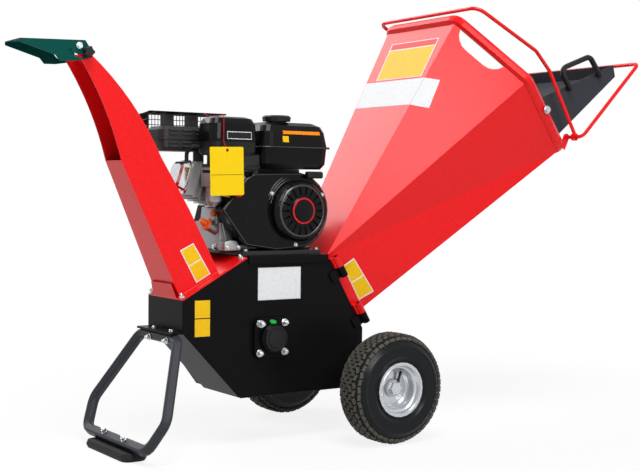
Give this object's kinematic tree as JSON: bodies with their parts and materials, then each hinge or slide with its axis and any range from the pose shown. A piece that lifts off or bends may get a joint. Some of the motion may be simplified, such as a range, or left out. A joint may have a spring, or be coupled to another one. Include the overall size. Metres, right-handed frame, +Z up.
{
  "type": "petrol wood chipper",
  "caption": "Petrol wood chipper with a tall hinged feed hopper, fold-up tray, curved discharge chute with tilting deflector, belt-driven rotor, two wheels and a stand leg",
  "frame": {"origin": "bottom centre of the overall box, on the ground", "axes": "+X from the discharge chute towards the feed hopper, +Y from the recoil starter side towards the belt guard side, +Z up"},
  "size_m": [1.69, 0.5634, 1.0739],
  "materials": {
    "black_paint": "semi-gloss powder coat",
    "red_paint": "gloss powder coat",
    "grey_paint": "satin powder coat",
    "deflector_paint": "satin powder coat",
    "silver_paint": "silver paint",
    "black_plastic": "moulded",
    "zinc": "bright zinc plate",
    "cast_aluminium": "die cast",
    "machined_steel": "machined",
    "rubber": "moulded rubber",
    "orange_plastic": "moulded",
    "tag_card": "printed card, blank",
    "string_red": "twisted string"
  },
  "bodies": {
    "chassis": {"chipper_housing": "black_paint", "engine_deck": "black_paint", "front_bearing": "black_paint", "rear_bearing": "black_paint", "belt_guard_plate": "black_paint", "belt_guard_cover": "black_paint", "blower_housing": "black_paint", "recoil_cover": "black_paint", "fuel_tank": "black_paint", "muffler": "black_paint", "muffler_guard": "black_paint", "chute": "red_paint", "stand_leg": "grey_paint", "air_cleaner_base": "black_plastic", "air_cleaner_cover": "black_plastic", "axle": "zinc", "axle_nut_near": "zinc", "axle_nut_far": "zinc", "deflector_bolt_near": "zinc", "deflector_bolt_far": "zinc", "valve_cover": "zinc", "crankcase": "cast_aluminium", "cylinder_head": "cast_aluminium", "carburettor": "cast_aluminium", "bed_knife": "machined_steel", "stand_foot": "rubber", "drive_belt_near": "rubber", "drive_belt_far": "rubber", "breather_hose": "rubber", "tag": "tag_card", "tag_string": "string_red"},
    "rotor_drive": {"rotor_shaft": "machined_steel", "rotor": "black_paint", "rotor_knife_1": "machined_steel", "rotor_knife_2": "machined_steel", "rotor_pulley": "machined_steel"},
    "crank": {"crankshaft": "machined_steel", "flywheel_fan": "cast_aluminium", "crank_pulley": "machined_steel"},
    "wheel_near": {"tyre_near": "rubber", "rim_near": "silver_paint"},
    "wheel_far": {"tyre_far": "rubber", "rim_far": "silver_paint"},
    "hopper_group": {"hopper": "red_paint", "hopper_rim": "red_paint", "upper_rail": "red_paint", "tray_bolt_near": "zinc", "tray_bolt_far": "zinc"},
    "tray_group": {"feed_tray": "grey_paint", "tray_handle": "black_plastic"},
    "rear_bail_group": {"rear_bail": "red_paint"},
    "deflector_group": {"deflector": "deflector_paint"},
    "knob_group": {"deflector_knob": "black_plastic"},
    "cap_group": {"fuel_cap": "black_plastic"},
    "oil_plug_group": {"oil_filler_plug": "orange_plastic"},
    "throttle_group": {"throttle_lever": "black_plastic"},
    "choke_group": {"choke_lever": "black_plastic"},
    "fuel_valve_group": {"fuel_valve_lever": "black_plastic"},
    "starter_group": {"starter_grip": "black_plastic"},
    "switch_group": {"engine_switch": "red_paint"}
  },
  "joints": [
    {"name": "rotor_spin", "type": "hinge", "parent": "chassis", "child": "rotor_drive", "pos_m": [-0.24399, 0, 0.253], "axis": [0, 1, 0], "continuous": true},
    {"name": "crank_spin", "type": "hinge", "parent": "chassis", "child": "crank", "pos_m": [-0.15399, 0, 0.5536], "axis": [0, 1, 0], "continuous": true},
    {"name": "wheel_near_spin", "type": "hinge", "parent": "chassis", "child": "wheel_near", "pos_m": [0.00601, -0.23875, 0.1325], "axis": [0, 1, 0], "continuous": true},
    {"name": "wheel_far_spin", "type": "hinge", "parent": "chassis", "child": "wheel_far", "pos_m": [0.00601, 0.23875, 0.1325], "axis": [0, 1, 0], "continuous": true},
    {"name": "hopper_swing", "type": "hinge", "parent": "chassis", "child": "hopper_group", "pos_m": [-0.06534, -0.096, 0.45043], "axis": [0.509, 0, -0.8607], "range_deg": [0, 80]},
    {"name": "tray_fold", "type": "hinge", "parent": "hopper_group", "child": "tray_group", "pos_m": [0.51176, 0, 0.81923], "axis": [0, -1, 0], "range_deg": [0, 80]},
    {"name": "rear_bail_fold", "type": "hinge", "parent": "hopper_group", "child": "rear_bail_group", "pos_m": [0.62635, 0, 0.75189], "axis": [0, -1, 0], "range_deg": [0, 60]},
    {"name": "deflector_tilt", "type": "hinge", "parent": "chassis", "child": "deflector_group", "pos_m": [-0.71099, 0, 0.914], "axis": [0, -1, 0], "range_deg": [0, 60]},
    {"name": "knob_turn", "type": "hinge", "parent": "chassis", "child": "knob_group", "pos_m": [-0.69302, 0, 0.90046], "axis": [0, 1, 0], "continuous": true},
    {"name": "fuel_cap_turn", "type": "hinge", "parent": "chassis", "child": "cap_group", "pos_m": [-0.19299, -0.03, 0.7693], "axis": [0, 0, 1], "range_deg": [0, 90]},
    {"name": "oil_plug_turn", "type": "hinge", "parent": "chassis", "child": "oil_plug_group", "pos_m": [-0.36092, 0.008, 0.51992], "axis": [-0.8829, 0, 0.4695], "continuous": true},
    {"name": "throttle_turn", "type": "hinge", "parent": "chassis", "child": "throttle_group", "pos_m": [-0.28399, -0.0448, 0.6441], "axis": [0, 0, -1], "range_deg": [0, 40]},
    {"name": "choke_turn", "type": "hinge", "parent": "chassis", "child": "choke_group", "pos_m": [-0.37899, -0.0565, 0.645], "axis": [0, 1, 0], "range_deg": [0, 45]},
    {"name": "fuel_valve_turn", "type": "hinge", "parent": "chassis", "child": "fuel_valve_group", "pos_m": [-0.35899, -0.0565, 0.619], "axis": [0, -1, 0], "range_deg": [0, 45]},
    {"name": "starter_pull", "type": "slide", "parent": "chassis", "child": "starter_group", "axis": [0, -1, 0], "range_m": [0, 0.5], "stiffness_N_per_m": 20},
    {"name": "switch_turn", "type": "hinge", "parent": "chassis", "child": "switch_group", "pos_m": [-0.32199, -0.0645, 0.5976], "axis": [0, -1, 0], "range_deg": [0, 90]}
  ],
  "couplings": [
    {"joint": "crank_spin", "follows": "rotor_spin", "ratio": 1.5789}
  ]
}
